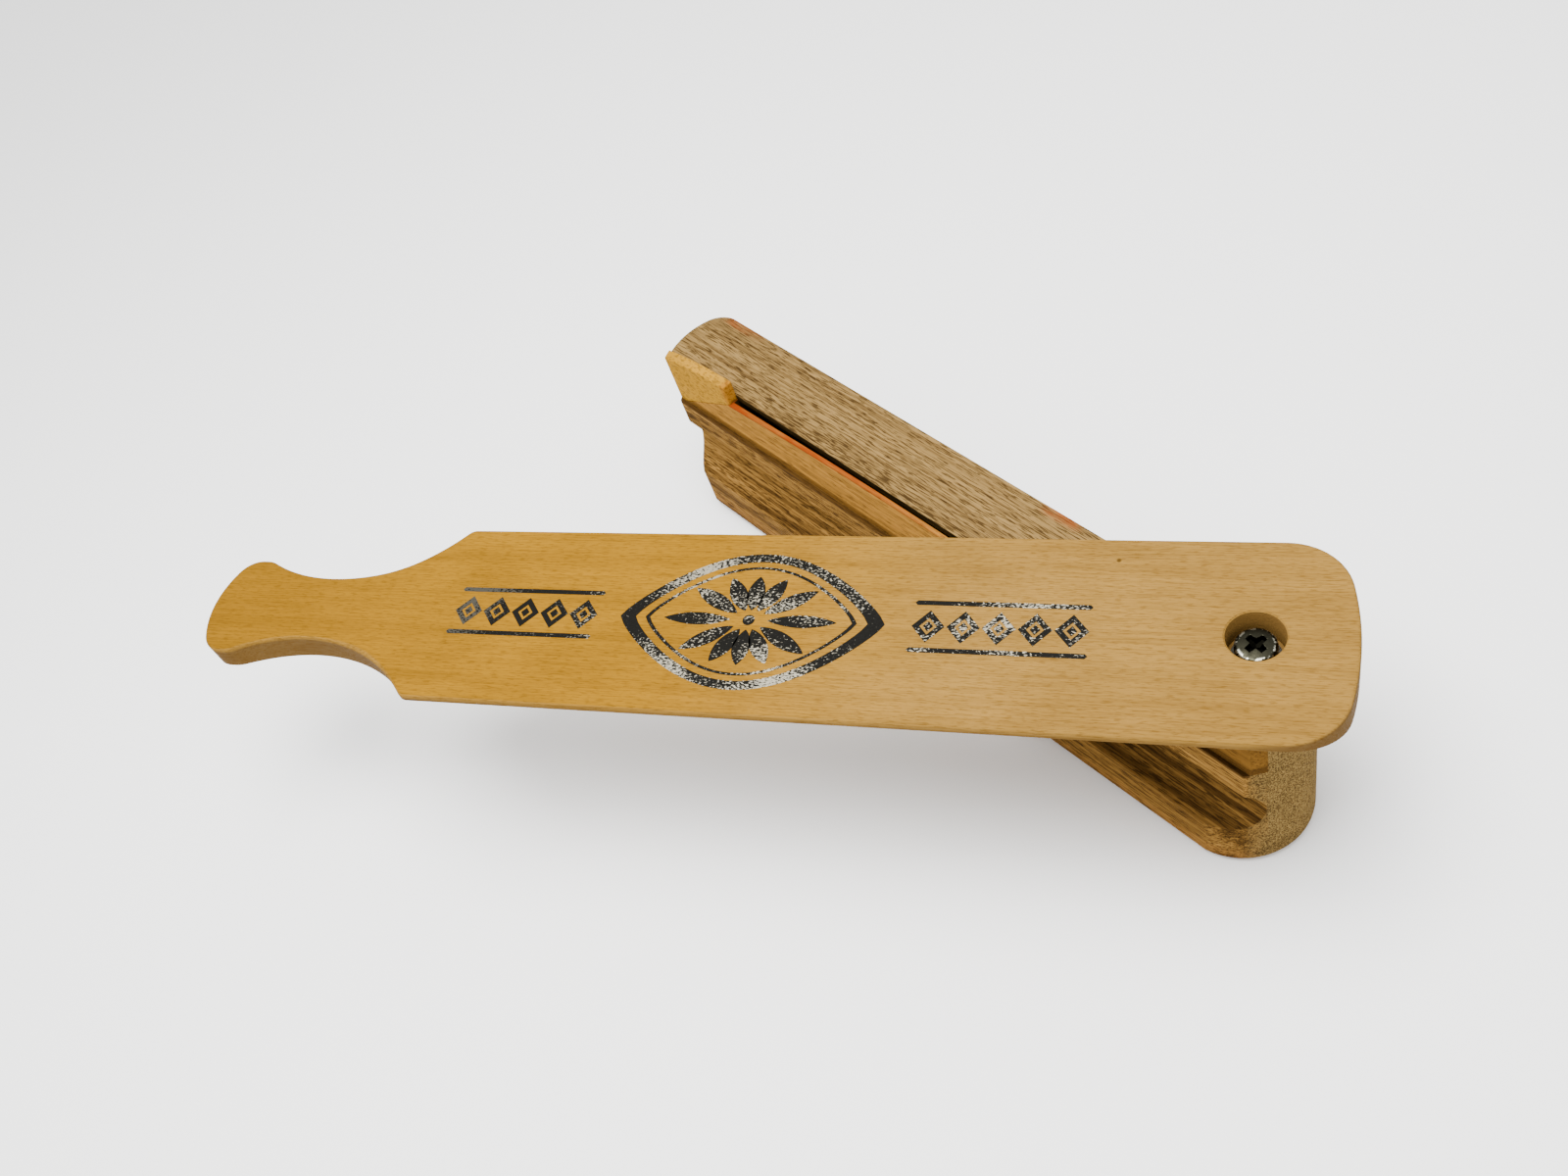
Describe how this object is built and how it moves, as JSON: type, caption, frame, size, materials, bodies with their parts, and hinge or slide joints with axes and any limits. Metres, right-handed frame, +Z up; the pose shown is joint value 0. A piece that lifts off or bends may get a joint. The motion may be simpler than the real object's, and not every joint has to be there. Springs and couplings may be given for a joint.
{
  "type": "turkey box call",
  "caption": "Wooden box call: a hollow block with an arched sound board along one side and a swinging lid with a flared handle, held by a sprung screw.",
  "frame": {"origin": "on the base plane, on the axis of the pivot screw", "axes": "+X along the block from the pivot to the free end, +Y towards the side with the sound board, +Z up along the pivot screw"},
  "size_m": [0.2472, 0.1882, 0.0663],
  "materials": {
    "walnut": "satin oil finish, open dark pores",
    "board_wood": "satin oil finish, dark stripes",
    "pale_wood": "satin oil finish",
    "screw_steel": "dark nickel plating",
    "washer_plastic": "matt",
    "spring_steel": "bright drawn wire",
    "washer_steel": "bright zinc plating",
    "lid_wood": "satin oil finish with a black and silver foil stamp"
  },
  "bodies": {
    "box": {"body": "walnut", "sound_board": "board_wood", "stop_block": "pale_wood", "pivot_screw": "screw_steel"},
    "swivel": {"spacer_washer": "washer_plastic", "spring": "spring_steel"},
    "paddle": {"lid": "lid_wood", "seat_washer": "washer_steel"}
  },
  "joints": [
    {"name": "lid_swing", "type": "hinge", "parent": "box", "child": "swivel", "pos_m": [0, 0, 0.0545], "axis": [0, 0, 1], "range_deg": [-22.5, 320]},
    {"name": "lid_tilt", "type": "hinge", "parent": "swivel", "child": "paddle", "pos_m": [-0.00451, -0.00315, 0.0567], "axis": [0.5736, -0.8192, 0], "range_deg": [0, 4], "stiffness_Nm_per_rad": 0.025, "springref_deg": -18.91, "deforming": ["spring"]}
  ]
}
